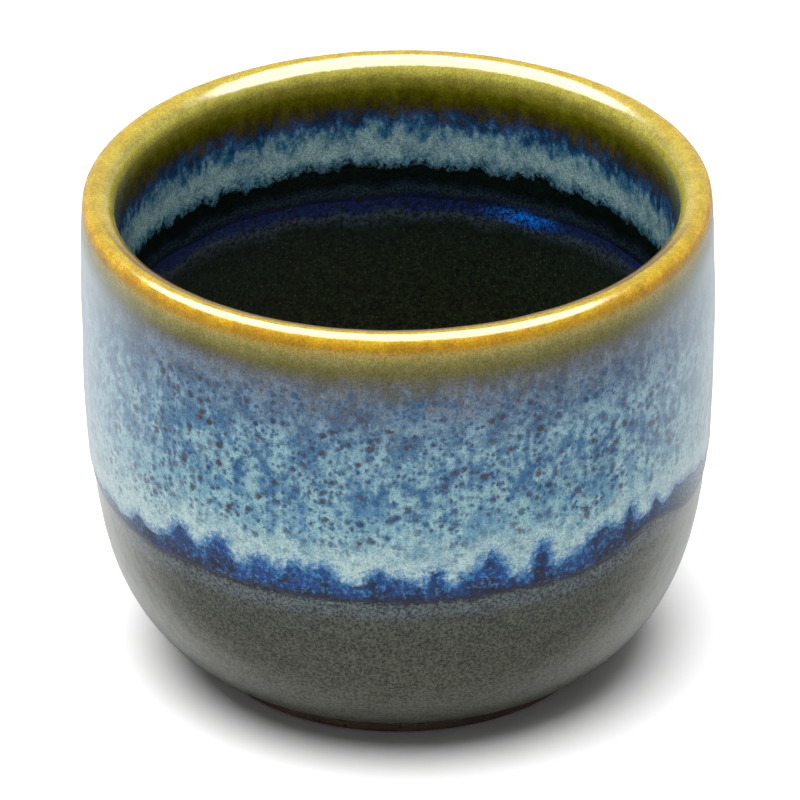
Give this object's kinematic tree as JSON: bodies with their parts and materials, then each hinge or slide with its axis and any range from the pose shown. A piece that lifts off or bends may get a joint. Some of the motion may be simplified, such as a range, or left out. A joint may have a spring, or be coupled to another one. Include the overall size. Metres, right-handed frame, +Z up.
{
  "type": "guinomi sake cup",
  "caption": "Small round stoneware sake cup with a recessed foot ring, runny speckled blue glaze over charcoal, and an amber lip.",
  "frame": {"origin": "centre of the foot ring's standing face, on the surface that the cup stands on", "axes": "+Z up along the cup's axis of revolution; -Y towards the picture's viewpoint"},
  "size_m": [0.062, 0.062, 0.05],
  "materials": {
    "clay": "bare fired stoneware",
    "charcoal_glaze": "satin",
    "well_glaze": "satin",
    "cobalt_glaze": "gloss",
    "blue_glaze": "gloss",
    "rim_glaze": "gloss"
  },
  "bodies": {
    "root": {"clay_body": "clay", "base_glaze_outside": "charcoal_glaze", "base_glaze_inside": "well_glaze", "cobalt_glaze_outside": "cobalt_glaze", "cobalt_glaze_inside": "cobalt_glaze", "blue_glaze_outside": "blue_glaze", "blue_glaze_inside": "blue_glaze", "rim_glaze": "rim_glaze"}
  },
  "joints": []
}
